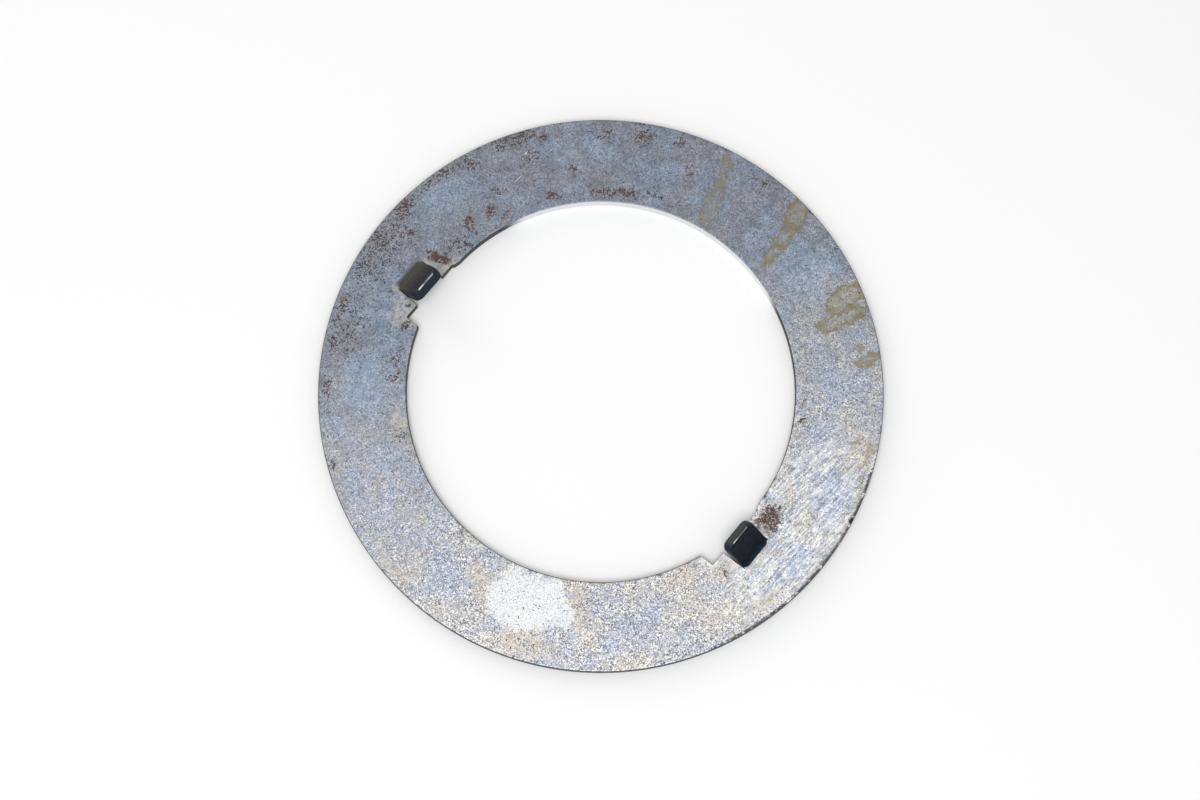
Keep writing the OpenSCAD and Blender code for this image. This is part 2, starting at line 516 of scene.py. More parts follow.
@dataclass
class WasherBlank:
    """The flat stamped blank, before its tangs are bent up: outline, rounded edges and both faces."""

    sizes: WasherSizes
    arc_step: float = 1.3
    hem: float = 0.16
    round_steps: int = 4
    pocket_round: float = 0.10
    slit_round: float = 0.07
    tang_round: float = 0.28
    pocket_fillet: float = 0.35
    shoulder: float = 1.50
    slit_end: float = 0.06
    wall_pitch: float = 0.4
    floor_pitch: float = 0.8
    fillet_pitch: float = 0.14
    bend_pitch: float = 0.16
    leaf_pitch: float = 0.5
    corner_pitch: float = 0.22
    ease_passes: int = 3
    face_pitch: float = 2.0
    root_rows: Triple = (0.9, 0.4, 0.0)
    tongue_rows: int = 12
    tongue_columns: int = 10
    side_margin: float = 1.0
    root_margin: float = 1.4
    point_gap: float = 0.25

    def point(self, x: float, y: float, kind: EdgeKind) -> RimPoint:
        """Makes one outline point with the rounding, the burr and its painted highlight, and the tip ridge
        and its painted highlight, of its kind of edge.

        Args:
            x: Place across the washer.
            y: Place along the washer.
            kind: The kind of edge.

        Returns:
            The point.
        """
        rounding = {
            EdgeKind.RIM: self.sizes.edge_r,
            EdgeKind.POCKET: self.pocket_round,
            EdgeKind.SLIT: self.slit_round,
            EdgeKind.ROOT: self.slit_round,
            EdgeKind.TANG: self.tang_round,
            EdgeKind.CORNER: self.sizes.tip_r,
            EdgeKind.TIP: self.sizes.tip_r,
        }[kind]
        burr_and_highlight = 1.0 if kind in (EdgeKind.POCKET, EdgeKind.SLIT) else 0.0
        return RimPoint(x, y, rounding, burr_and_highlight, 1.0 if kind is EdgeKind.TIP else 0.0)

    def line(self, start: Point2, end: Point2, pitch: float, kind: EdgeKind) -> list[RimPoint]:
        """Places points along a straight edge, without its end.

        Args:
            start: First point.
            end: Point the edge runs to.
            pitch: Longest distance between points.
            kind: The kind of edge.

        Returns:
            The points.
        """
        count = max(1, math.ceil(math.dist(start, end) / pitch))
        run_x, run_y = end[0] - start[0], end[1] - start[1]
        steps = [i / count for i in range(count)]
        return [self.point(start[0] + run_x * k, start[1] + run_y * k, kind) for k in steps]

    def arc(
        self, centre: Point2, radius: float, begin: float, end: float, pitch: float, kind: EdgeKind
    ) -> list[RimPoint]:
        """Places points along an arc, without its end.

        Args:
            centre: Centre of the arc.
            radius: Radius of the arc.
            begin: First angle in degrees.
            end: Last angle in degrees.
            pitch: Longest distance between points.
            kind: The kind of edge.

        Returns:
            The points.
        """
        first, sweep = math.radians(begin), math.radians(end - begin)
        count = max(2, math.ceil(abs(sweep) * radius / pitch))
        angles = [first + sweep * i / count for i in range(count)]
        x, y = centre
        return [self.point(x + radius * math.cos(a), y + radius * math.sin(a), kind) for a in angles]

    def outer_rim(self) -> list[RimPoint]:
        """Outline of the outer edge, with the sheet on its left."""
        return self.arc((0.0, 0.0), self.sizes.outer_r, 0.0, 360.0, self.arc_step, EdgeKind.RIM)

    def right_bore_rim(self) -> list[RimPoint]:
        """Right half of the bore's outline, from its top to its bottom, with the sheet on its left.

        Returns:
            The outline's points on the right, in order.
        """
        s, f, c = self.sizes, self.pocket_fillet, self.sizes.corner_r
        middle = -s.tang_offset
        pocket = (middle + s.pocket_w / 2, middle - s.pocket_w / 2)
        side = (middle + s.tang_w / 2, middle - s.tang_w / 2)
        window = (side[0] + s.slit_w, side[1] - s.slit_w)
        slit = (side[0] + self.slit_end, side[1] - self.slit_end)
        floor_x, root_x, leaf_x = s.floor_x, s.root_x, s.root_x - s.bend_run
        tip_x = leaf_x - s.tang_l
        ends = (pocket[0] + self.shoulder, pocket[1])
        meet = [math.sqrt(s.bore_r ** 2 - y ** 2) for y in ends]
        turn = [math.degrees(math.atan2(y, x)) for x, y in zip(meet, ends)]
        line, arc = self.line, self.arc
        rim = arc((0, 0), s.bore_r, 90, turn[0], self.arc_step, EdgeKind.RIM)
        rim += line((meet[0], ends[0]), (floor_x - f, pocket[0]), self.wall_pitch, EdgeKind.POCKET)
        rim += arc((floor_x - f, pocket[0] - f), f, 90, 0, self.fillet_pitch, EdgeKind.POCKET)
        rim += line((floor_x, pocket[0] - f), (floor_x, window[0]), self.floor_pitch, EdgeKind.POCKET)
        rim += line((floor_x, window[0]), (root_x, slit[0]), self.floor_pitch, EdgeKind.SLIT)
        rim += line((root_x, slit[0]), (root_x, side[0]), self.leaf_pitch, EdgeKind.ROOT)
        rim += line((root_x, side[0]), (leaf_x, side[0]), self.bend_pitch, EdgeKind.ROOT)
        rim += line((leaf_x, side[0]), (tip_x + c, side[0]), self.leaf_pitch, EdgeKind.TANG)
        rim += arc((tip_x + c, side[0] - c), c, 90, 180, self.corner_pitch, EdgeKind.CORNER)
        rim += line((tip_x, side[0] - c), (tip_x, side[1] + c), self.leaf_pitch, EdgeKind.TIP)
        rim += arc((tip_x + c, side[1] + c), c, 180, 270, self.corner_pitch, EdgeKind.CORNER)
        rim += line((tip_x + c, side[1]), (leaf_x, side[1]), self.leaf_pitch, EdgeKind.TANG)
        rim += line((leaf_x, side[1]), (root_x, side[1]), self.bend_pitch, EdgeKind.ROOT)
        rim += line((root_x, side[1]), (root_x, slit[1]), self.leaf_pitch, EdgeKind.ROOT)
        rim += line((root_x, slit[1]), (floor_x, window[1]), self.floor_pitch, EdgeKind.SLIT)
        rim += line((floor_x, window[1]), (floor_x, pocket[1] + f), self.floor_pitch, EdgeKind.POCKET)
        rim += arc((floor_x - f, pocket[1] + f), f, 0, -90, self.fillet_pitch, EdgeKind.POCKET)
        rim += line((floor_x - f, pocket[1]), (meet[1], pocket[1]), self.wall_pitch, EdgeKind.POCKET)
        rim += arc((0, 0), s.bore_r, turn[1], -90, self.arc_step, EdgeKind.RIM)
        return rim

    def bore_rim(self) -> list[RimPoint]:
        """Whole outline of the bore, pockets, slits and tangs, with the sheet on its left.

        Returns:
            The outline's points, in order.
        """
        right = self.right_bore_rim()
        bottom = self.point(0.0, -self.sizes.bore_r, EdgeKind.RIM)
        left = [RimPoint(-p.x, p.y, p.rounding, p.burr_and_highlight, p.ridge_highlight_and_wear) for p in reversed(right[1:])]
        rim = right + [bottom] + left
        for _ in range(self.ease_passes):
            sharp = [point.rounding for point in rim]
            for i, point in enumerate(rim):
                point.rounding = (sharp[i - 1] + 2 * sharp[i] + sharp[(i + 1) % len(rim)]) / 4
        return rim

    @staticmethod
    def inward(rim: list[RimPoint]) -> list[Vector]:
        """Finds the way into the sheet at each point of an outline.

        Args:
            rim: The outline, with the sheet on its left.

        Returns:
            One vector for each point, long enough to keep the edges' distances at a corner.
        """
        normals = []
        for point, ahead in zip(rim, rim[1:] + rim[:1]):
            along = Vector((ahead.x - point.x, ahead.y - point.y)).normalized()
            normals.append(Vector((-along.y, along.x)))
        pairs = zip(normals[-1:] + normals[:-1], normals)
        return [(before + after) / (1.0 + before.dot(after)) for before, after in pairs]

    def edge_rows(self, rounding: float) -> list[Point2]:
        """Lists the rows of an edge from the back face round the wall to the front face.

        Args:
            rounding: Rounding of the edge.

        Returns:
            Distance from the outline and height of each row.
        """
        thick = self.sizes.plate_t
        rows = [(rounding + self.hem, 0.0)]
        for i in range(self.round_steps + 1):
            a = math.pi / 2 * i / self.round_steps
            rows.append((rounding * (1 - math.sin(a)), rounding * (1 - math.cos(a))))
        return rows + [(inset, thick - height) for inset, height in reversed(rows)]

    def face_points(self, hems: list[Loop]) -> list[Point2]:
        """Spreads points over the face, so that it has even triangles and can bend.

        Args:
            hems: Outlines of the face, outer one first.

        Returns:
            The points that keep their distance from every outline.
        """
        s = self.sizes
        spread: list[Point2] = []
        rings = max(2, round((s.outer_r - s.bore_r) / self.face_pitch))
        for k in range(1, rings):
            radius = s.bore_r + (s.outer_r - s.bore_r) * k / rings
            count = round(2 * math.pi * radius / self.face_pitch)
            angles = [2 * math.pi * (i + k % 2 / 2) / count for i in range(count)]
            spread += [(radius * math.cos(a), radius * math.sin(a)) for a in angles]
        half = s.tang_w / 2 + self.side_margin
        near_x = s.root_x + self.root_margin
        spread = [p for p in spread if abs(p[1] + s.tang_offset) >= half or abs(p[0]) >= near_x]
        rows = [s.root_x + before for before in self.root_rows]
        rows += [s.root_x - s.bend_run * i / self.tongue_rows for i in range(1, self.tongue_rows + 1)]
        leaf_x = s.root_x - s.bend_run
        rows += [leaf_x - s.tang_l * i / self.tongue_rows for i in range(1, self.tongue_rows)]
        shares = [i / self.tongue_columns - 0.5 for i in range(1, self.tongue_columns)]
        tongue = [(x, -s.tang_offset + s.tang_w * share) for x in rows for share in shares]
        spread += tongue + [(-x, y) for x, y in tongue]
        return [p for p in spread if self.inside(p, hems) and self.clear(p, hems, self.point_gap)]

    @staticmethod
    def inside(point: Point2, loops: list[Loop]) -> bool:
        """Tells whether a point lies on the sheet, by the crossings of a ray with all outlines.

        Args:
            point: The point.
            loops: The outlines.

        Returns:
            True on the sheet.
        """
        x, y = point
        odd = False
        for loop in loops:
            for (ax, ay), (bx, by) in zip(loop, loop[1:] + loop[:1]):
                if (ay > y) != (by > y) and x < (bx - ax) * (y - ay) / (by - ay) + ax:
                    odd = not odd
        return odd

    @staticmethod
    def clear(point: Point2, loops: list[Loop], distance: float) -> bool:
        """Tells whether a point keeps a distance from the points of all outlines."""
        x, y = point
        return all(abs(qx - x) + abs(qy - y) > distance for loop in loops for qx, qy in loop)

    def mesh(self) -> bpy.types.Mesh:
        """Builds the flat blank as one closed mesh, and stores depth, wall, the burr and the tip ridge, which
        carry painted highlights, on its points.

        Returns:
            The mesh, in metres.
        """
        bm = bmesh.new()
        names = ("sheet_depth", "cut_wall", "burr_and_highlight", "ridge_highlight_and_wear")
        depth, wall, burr_and_highlight, ridge_highlight_and_wear = [bm.verts.layers.float.new(name) for name in names]
        thick = self.sizes.plate_t
        hems: list[Loop] = []
        front: list[bmesh.types.BMVert] = []
        back: list[bmesh.types.BMVert] = []
        for rim in (self.outer_rim(), self.bore_rim()):
            columns = []
            for point, inward in zip(rim, self.inward(rim)):
                column = []
                for inset, height in self.edge_rows(point.rounding):
                    x, y = point.x + inward.x * inset, point.y + inward.y * inset
                    vert = bm.verts.new((x * MM, y * MM, height * MM))
                    vert[depth] = height / thick
                    vert[wall] = max(0.0, 1.0 - inset / max(point.rounding, TINY))
                    column.append(vert)
                for vert in column[-2:]:
                    vert[burr_and_highlight] = point.burr_and_highlight
                column[-2 - self.round_steps // 2][ridge_highlight_and_wear] = point.ridge_highlight_and_wear
                columns.append(column)
            for i, column in enumerate(columns):
                ahead = columns[(i + 1) % len(columns)]
                for k in range(len(column) - 1):
                    bm.faces.new((column[k], ahead[k], ahead[k + 1], column[k + 1]))
            hems.append([(c[-1].co.x / MM, c[-1].co.y / MM) for c in columns])
            back += [c[0] for c in columns]
            front += [c[-1] for c in columns]
        spots = self.face_points(hems)
        for x, y in spots:
            for side, row in ((SheetSide.BACK, back), (SheetSide.FRONT, front)):
                vert = bm.verts.new((x * MM, y * MM, side.value * thick * MM))
                vert[depth] = side.value
                row.append(vert)
        for a, b, c in self.face_triangles(hems, spots):
            bm.faces.new((front[a], front[b], front[c]))
            bm.faces.new((back[c], back[b], back[a]))
        for face in bm.faces:
            face.smooth = True
        mesh = bpy.data.meshes.new("washer_blank")
        bm.to_mesh(mesh)
        bm.free()
        return mesh

    def face_triangles(self, hems: list[Loop], spots: list[Point2]) -> list[tuple[int, int, int]]:
        """Fills the face between its outlines with triangles.

        Args:
            hems: Outlines of the face, outer one first.
            spots: Points inside it.

        Returns:
            Triangles by point number, outlines first, seen from the front.
        """
        places = [Vector(p) for hem in hems for p in hem] + [Vector(p) for p in spots]
        edges = []
        first = 0
        for hem in hems:
            edges += [(first + i, first + (i + 1) % len(hem)) for i in range(len(hem))]
            first += len(hem)
        verts, _, faces, origin, _, _ = delaunay_2d_cdt(places, edges, [], 0, TINY)
        triangles = []
        for face in faces:
            middle = sum((verts[i] for i in face), Vector((0.0, 0.0))) / 3
            if self.inside((middle.x, middle.y), hems):
                triangles.append(tuple(origin[i][0] for i in face))
        return triangles


@dataclass
class TangFold:
    """The press step that bends both tangs up, as a Geometry Nodes tree with the sizes as inputs."""

    sizes: WasherSizes
    side_slack: float = 0.05
    crease_deg: float = 38.0

    def inputs(self) -> dict[str, float]:
        """Lists the sizes that the tree takes.

        Returns:
            Each size by its name, in metres and radians.
        """
        s = self.sizes
        return {
            "Root Distance": s.root_x * MM,
            "Tang Offset": s.tang_offset * MM,
            "Tang Width": s.tang_w * MM,
            "Sheet Thickness": s.plate_t * MM,
            "Bend Radius": s.bend_r * MM,
            "Bend Angle": s.bend,
        }

    def tree(self) -> bpy.types.NodeTree:
        """Builds the tree.

        Returns:
            A tree that folds the blank, stores how far each point lies on a tang, and sets the material.
        """
        tree = bpy.data.node_groups.new("fold_tangs", "GeometryNodeTree")
        face = tree.interface
        face.new_socket("Geometry", in_out="INPUT", socket_type="NodeSocketGeometry")
        for name in self.inputs():
            face.new_socket(name, in_out="INPUT", socket_type="NodeSocketFloat")
        face.new_socket("Material", in_out="INPUT", socket_type="NodeSocketMaterial")
        face.new_socket("Geometry", in_out="OUTPUT", socket_type="NodeSocketGeometry")
        g = NodeGraph(tree)
        given = g.given()
        root, thick = given["Root Distance"], given["Sheet Thickness"]
        radius, angle = given["Bend Radius"], given["Bend Angle"]
        x, y, z = g.split(g.out("GeometryNodeInputPosition", {}))

        half = given["Tang Width"] * 0.5 + self.side_slack * MM
        on_tang = g.math("LESS_THAN", abs(y + given["Tang Offset"]), half)
        run = on_tang * g.most(0.0, root - abs(x))
        middle = radius + thick * 0.5
        bend_run = middle * angle
        turned = g.least(run, bend_run) / middle
        beyond = g.most(0.0, run - bend_run)
        lever = radius + thick - z
        back_x = lever * g.math("SINE", turned) + beyond * g.math("COSINE", angle)
        new_x = g.math("SIGN", x) * (root - back_x)
        drop = lever * g.math("COSINE", turned)
        new_z = thick + radius - drop + beyond * g.math("SINE", angle)

        feeds = {"Geometry": given["Geometry"], "Name": "tang_run", "Value": run / MM}
        stored = g.out("GeometryNodeStoreNamedAttribute", feeds, data_type="FLOAT", domain="POINT")
        folded = g.out("ShaderNodeCombineXYZ", {"X": new_x, "Y": y, "Z": new_z})
        chosen = g.math("GREATER_THAN", run, 0.0)
        feeds = {"Geometry": stored, "Selection": chosen, "Position": folded}
        moved = g.out("GeometryNodeSetPosition", feeds)
        real = g.out("GeometryNodeRealizeInstances", {"Geometry": moved})
        dressed = g.out("GeometryNodeSetMaterial", {"Geometry": real, "Material": given["Material"]})
        g.add("NodeGroupOutput", {"Geometry": dressed})
        return tree

    def apply(self, blank: bpy.types.Mesh, material: bpy.types.Material, name: str) -> bpy.types.Object:
        """Folds a blank and returns the result as a plain object.

        Args:
            blank: The flat mesh.
            material: The finish of the whole piece.
            name: Name of the finished object.

        Returns:
            The finished object, with no modifier left.
        """
        flat = bpy.data.objects.new("flat_blank", blank)
        bpy.context.collection.objects.link(flat)
        fold = flat.modifiers.new("fold_tangs", "NODES")
        fold.node_group = self.tree()
        values = {**self.inputs(), "Material": material}
        for item in fold.node_group.interface.items_tree:
            if item.item_type == "SOCKET" and item.in_out == "INPUT" and item.name in values:
                fold[item.identifier] = values[item.name]
        evaluated = flat.evaluated_get(bpy.context.evaluated_depsgraph_get())
        mesh = bpy.data.meshes.new_from_object(evaluated)
        mesh.name = name
        mesh.set_sharp_from_angle(angle=math.radians(self.crease_deg))
        bpy.data.objects.remove(flat)
        piece = bpy.data.objects.new(name, mesh)
        bpy.context.collection.objects.link(piece)
        return piece


@dataclass
class SteelFields:
    """Patterns and places that the layers of the washer's material share."""

    place: Value
    ragged: Value
    outward: Value
    radius: Value
    hue: Value
    cloud: Value
    patchy: Value
    wear_and_sheen: Value
    scuff: Value
    mottle: Value
    grain: Value
    shear: Value
    fine: Value
    squiggle: Value
    crackle: Value
    streak: Value
    depth: Value
    front: Value
    wall: Value
    polish: Value
    burr_and_highlight: Value
    ridge_highlight_and_wear: Value
    run: Value
    root: Value
    across: Value
    left: Value


@dataclass
class WornSteel:
    """Material of the washer: worn blue-grey steel with marks, sheared walls and black tangs, with painted
    sheen, highlights, reflections and shade.
    """

    sizes: WasherSizes
    steel: SteelFinish = SteelFinish()
    marks: MarkFinish = MarkFinish()
    black: BlackFinish = BlackFinish()
    # Leans the pale wear towards the lower right, where part of its lightness is a painted sheen of the
    # lamp's glow.
    wear_and_sheen_lean: Triple = (0.0054, -0.0150, 0.0)
    hatch_deg: float = -46.0
    hatch_shape: Triple = (0.40, 2.4, 1.0)
    shear_shape: Triple = (1.0, 1.0, 0.12)
    ragged_reach: Triple = (5.0, 5.0, 0.0)
    polish_deg: float = 72.0
    # Heading of the painted shadow along the rim, towards the lower right.
    rim_shade_deg: float = -42.0
    material: bpy.types.Material = field(init=False)
    graph: NodeGraph = field(init=False)
    oval: bpy.types.NodeTree = field(init=False)
    shared: SteelFields = field(init=False)
    colour: Signal = field(init=False)

    def __post_init__(self) -> None:
        """Starts the material and sets up what its layers share."""
        self.material = bpy.data.materials.new("worn_steel")
        self.material.use_nodes = True
        self.graph = NodeGraph(self.material.node_tree)
        self.oval = self.oval_group()
        self.shared = self.fields()
        self.colour = self.steel.old_blue

    def paint(self, share: Signal, colour: Signal) -> None:
        """Lays a colour over what is painted so far; share says how much of it shows."""
        self.colour = self.graph.mix(share, self.colour, colour)

    @staticmethod
    def oval_group() -> bpy.types.NodeTree:
        """Builds the small group that measures how deep a place lies inside one oval mark.

        Returns:
            The group. Depth is 1 at the middle and 0 on the outline, and Inset is that in millimetres.
        """
        tree = bpy.data.node_groups.new("oval_mark", "ShaderNodeTree")
        face = tree.interface
        for name in ("Place", "Centre", "Half Sizes"):
            face.new_socket(name, in_out="INPUT", socket_type="NodeSocketVector")
        face.new_socket("Turn", in_out="INPUT", socket_type="NodeSocketFloat")
        for name in ("Depth", "Inset"):
            face.new_socket(name, in_out="OUTPUT", socket_type="NodeSocketFloat")
        g = NodeGraph(tree)
        given = g.given()
        away = g.vector("SUBTRACT", given["Place"], given["Centre"])
        feeds = {"Vector": away, "Angle": given["Turn"] * -1.0}
        turned = g.out("ShaderNodeVectorRotate", feeds, rotation_type="Z_AXIS")
        scaled = g.vector("DIVIDE", turned, given["Half Sizes"])
        depth = 1.0 - g.vector("LENGTH", g.vector("MULTIPLY", scaled, FLAT))
        half_width = g.split(given["Half Sizes"])[1]
        g.add("NodeGroupOutput", {"Depth": depth, "Inset": depth * half_width})
        return tree

    def marks_of(self, kind: StainKind, place: Value, measure: str) -> list[tuple[float, Value]]:
        """Places the oval group once for each mark of one kind.

        Args:
            kind: The kind of mark.
            place: Coordinates in millimetres.
            measure: The group's output to follow.

        Returns:
            Strength and measure of each mark.
        """
        found = []
        for stain in STAINS[kind]:
            feeds = {
                "Place": place,
                "Centre": (*stain.centre, 0.0),
                "Half Sizes": (stain.half_length, stain.half_width, 1.0),
                "Turn": math.radians(stain.turn_deg),
            }
            inside = self.graph.out("ShaderNodeGroup", feeds, measure, node_tree=self.oval, label=stain.name)
            found.append((stain.strength, inside))
        return found

    def spread(self, kind: StainKind, place: Value, low: float, high: float) -> Value:
        """Joins all marks of one kind to one field.

        Args:
            kind: The kind of mark.
            place: Coordinates in millimetres.
            low: Depth at which a mark begins.
            high: Depth at which it has its full strength.

        Returns:
            Strength of the marks, from 0 to 1.
        """
        total: Signal = 0.0
        for strength, depth in self.marks_of(kind, place, "Depth"):
            total = self.graph.most(total, self.graph.step(depth, low, high) * strength)
        return total

    def toward(self, outward: Value, heading_deg: float) -> Value:
        """Tells how far a place lies towards a heading, as the cosine between the two."""
        heading = math.radians(heading_deg)
        return self.graph.vector("DOT_PRODUCT", outward, (math.cos(heading), math.sin(heading), 0.0))

    def fields(self) -> SteelFields:
        """Sets up the coordinates, the noises and the values that the mesh stores.

        Returns:
            The shared fields.
        """
        g, s = self.graph, self.sizes
        own = g.out("ShaderNodeTexCoord", {}, "Object")
        feeds = {"Vector": own, "Rotation": (0.0, 0.0, -VIEW_TURN), "Scale": (1 / MM, 1 / MM, 1 / MM)}
        place = g.out("ShaderNodeMapping", feeds, vector_type="POINT")
        flat = g.vector("MULTIPLY", place, FLAT)
        outward, radius = g.vector("NORMALIZE", flat), g.vector("LENGTH", flat)
        wander = g.vector("SUBTRACT", g.noise(place, 0.55, 4.0, 0.62, output="Color"), (0.5, 0.5, 0.5))
        ragged = g.vector("ADD", place, g.vector("MULTIPLY", wander, self.ragged_reach))

        feeds = {"Vector": place, "Rotation": (0.0, 0.0, math.radians(self.hatch_deg))}
        hatch = g.vector("MULTIPLY", g.out("ShaderNodeMapping", feeds, vector_type="POINT"), self.hatch_shape)
        upright = g.vector("MULTIPLY", place, self.shear_shape)
        curl = abs(g.noise(place, 1.15, 2.0, 0.5, 0.9) - 0.5)
        crack = abs(g.noise(place, 1.75, 1.0, 0.5, 1.1) - 0.5)
        cloud = g.noise(place, 0.32, 3.0, 0.60)
        # Paler towards the lower right: partly real wear, partly a painted sheen.
        lean = g.vector("DOT_PRODUCT", place, self.wear_and_sheen_lean)
        blotch = (g.noise(place, 0.085, 3.0, 0.55) - 0.5) * 0.7

        x, y, _ = g.split(own)
        left = g.math("LESS_THAN", x, 0.0)
        beside = y / MM + s.tang_offset
        # Strength of the ridge's painted highlight, partly edge wear: broken by noise, strongest towards one
        # end and dimmer on the right tang.
        highlight_and_wear = g.blend(g.step(g.noise(place, 0.6, 1.0, 0.5), 0.38, 0.62), 0.45, 1.0)
        highlight_and_wear = highlight_and_wear * g.blend(g.step(beside, 0.6, -2.2), 0.55, 1.0) * g.blend(left, 0.55, 1.0)
        depth = g.attribute("sheet_depth")
        wall = g.step(g.attribute("cut_wall"), 0.25, 0.85)
        bore = g.step(radius, s.floor_x + 1.0, s.floor_x)
        return SteelFields(
            place=place,
            ragged=ragged,
            outward=outward,
            radius=radius,
            hue=g.noise(place, 0.13, 4.0, 0.60),
            cloud=cloud,
            patchy=g.blend(g.step(cloud, 0.38, 0.62), 0.75, 1.40),
            wear_and_sheen=g.step(lean + blotch, -0.50, 0.64),
            scuff=self.spread(StainKind.SCUFF, ragged, -0.05, 0.45),
            mottle=g.noise(place, 0.85, 3.0, 0.62),
            grain=g.noise(place, 1.9, 2.0, 0.6),
            shear=g.noise(upright, 1.5, 2.0, 0.6),
            fine=g.noise(place, 3.1, 1.0, 0.5),
            squiggle=g.step(curl, 0.060, 0.012) * g.step(g.noise(place, 1.9, 1.0, 0.5), 0.44, 0.56),
            crackle=g.step(crack, 0.095, 0.020) * g.step(g.noise(place, 2.4, 1.0, 0.5), 0.40, 0.52),
            streak=g.noise(hatch, 1.0, 3.0, 0.6),
            depth=depth,
            front=g.step(depth, 0.90, 0.99),
            wall=wall,
            polish=wall * bore * g.step(self.toward(outward, self.polish_deg), 0.66, 0.76),
            burr_and_highlight=g.attribute("burr_and_highlight") * g.step(g.noise(place, 0.9, 2.0, 0.6), 0.36, 0.52),
            ridge_highlight_and_wear=g.step(g.attribute("ridge_highlight_and_wear"), 0.30, 0.75) * highlight_and_wear,
            run=g.attribute("tang_run"),
            root=s.root_x - abs(x) / MM,
            across=abs(beside),
            left=left,
        )

    def ground(self) -> None:
        """Colours the bare sheet: dark blue-grey skin, worn pale steel that is real wear and also a painted
        sheen towards the lower right, grain, flecks with painted glints, and pits.
        """
        g, f, s, wear_and_sheen = self.graph, self.shared, self.steel, self.shared.wear_and_sheen
        outer_r, bore_r = self.sizes.outer_r, self.sizes.bore_r
        rim = g.step(f.radius, outer_r - 5.0, outer_r - 0.5)
        rim = g.most(rim, g.step(f.radius, bore_r + 3.7, bore_r + 0.5))
        blue = self.spread(StainKind.BLUE, f.ragged, -0.3, 0.8) * f.front
        scuff = f.scuff * f.front
        grain, mottle = f.grain - 0.5, f.mottle - 0.5

        hue = f.hue + rim * 0.06 - blue * 0.18 - scuff * 0.06 + mottle * 0.30
        old = g.mix(g.step(hue, 0.34, 0.66), s.old_blue, s.old_grey)
        tint = hue + mottle * 0.40 + grain * 0.20
        worn_and_sheen = g.mix(g.step(tint, 0.25, 0.73), s.worn_sheen_blue, s.worn_sheen_cream)

        shade = grain * g.blend(wear_and_sheen, 1.20, 1.6) + (f.fine - 0.5) * g.blend(wear_and_sheen, 1.10, 1.8)
        shade = shade * f.patchy * g.blend(scuff, 1.0, 0.58)
        shade = shade + mottle * g.blend(wear_and_sheen, 0.80, 1.05)
        shade = shade + (f.cloud - 0.5) * g.blend(wear_and_sheen, 1.15, 0.85)
        shade = shade + ((f.streak - 0.5) * 2.9 + 0.12) * scuff
        shade = shade + blue * g.blend(wear_and_sheen, 0.20, 0.0)
        shade = g.least(g.most(shade + 1.06, 0.3), 1.7)
        # Mixes the dark skin with pale worn steel, whose lightness towards the lower right is partly painted
        # sheen.
        self.colour = g.mix(1.0, g.mix(wear_and_sheen, old, worn_and_sheen), shade, "MULTIPLY")

        pits = g.step(g.noise(f.place, 1.4, 3.0, 0.70), 0.57, 0.67) * g.blend(wear_and_sheen, 0.60, 0.50)
        self.paint(pits, s.pit)
        # Pale flecks of bare metal and painted glints along the scuffed streaks.
        flecks_and_glints = g.step(f.fine, 0.60, 0.74) * g.blend(wear_and_sheen, 0.10, 0.75) * g.blend(scuff, 1.0, 0.50)
        glint = g.step(f.streak, 0.55, 0.68) * (scuff * 0.60)
        self.paint(g.most(flecks_and_glints, glint), s.fleck_and_glint)

    def pale_marks(self) -> None:
        """Lays the cream and tan stains, the fine cracks and the bare patch over the ground."""
        g, f = self.graph, self.shared
        cream = self.spread(StainKind.CREAM, f.ragged, -0.35, 0.6) * g.step(f.mottle, 0.26, 0.60)
        self.paint(cream * f.front, self.marks.cream)
        cracks = g.most(f.squiggle * 0.76, f.crackle * 0.66) * f.patchy
        cracks = g.math("MULTIPLY", cracks, g.blend(f.wear_and_sheen, 0.20, 1.0), clamp=True)
        self.paint(cracks * g.blend(f.scuff, 1.0, 0.62), self.steel.crack)
        bare = self.spread(StainKind.BARE, f.ragged, -0.22, 0.40) + (f.grain - 0.5) * 1.1
        bare = g.step(bare, 0.14, 0.98) * f.front * g.blend(g.step(f.fine, 0.34, 0.60), 0.54, 0.88)
        self.paint(bare, self.marks.bare)
        scratch = self.spread(StainKind.SCRATCH, f.place, 0.0, 0.5)
        self.paint(scratch * f.front, self.steel.fleck_and_glint)

    def tide_marks(self) -> None:
        """Lays the dried stains: a pale wash with a thin ochre line along its outline."""
        g, f = self.graph, self.shared
        line: Signal = 0.0
        wash: Signal = 0.0
        for strength, inset in self.marks_of(StainKind.OCHRE, f.ragged, "Inset"):
            edge = g.step(inset, -0.40, 0.05) * g.step(inset, 0.95, 0.30)
            line = g.most(line, edge * strength)
            wash = g.most(wash, g.step(inset, -0.1, 0.5) * strength)
        rough = f.mottle * 0.4 + f.grain * 0.35 + f.fine * 0.25
        specks = wash * g.step(g.noise(f.place, 2.1, 2.0, 0.6), 0.53, 0.62) * 0.55
        line = g.most(line * g.step(rough, 0.42, 0.51), specks)
        self.paint(wash * f.front * 0.36, self.marks.ochre_wash)
        self.paint(line * f.front * 0.88, self.marks.ochre_line)

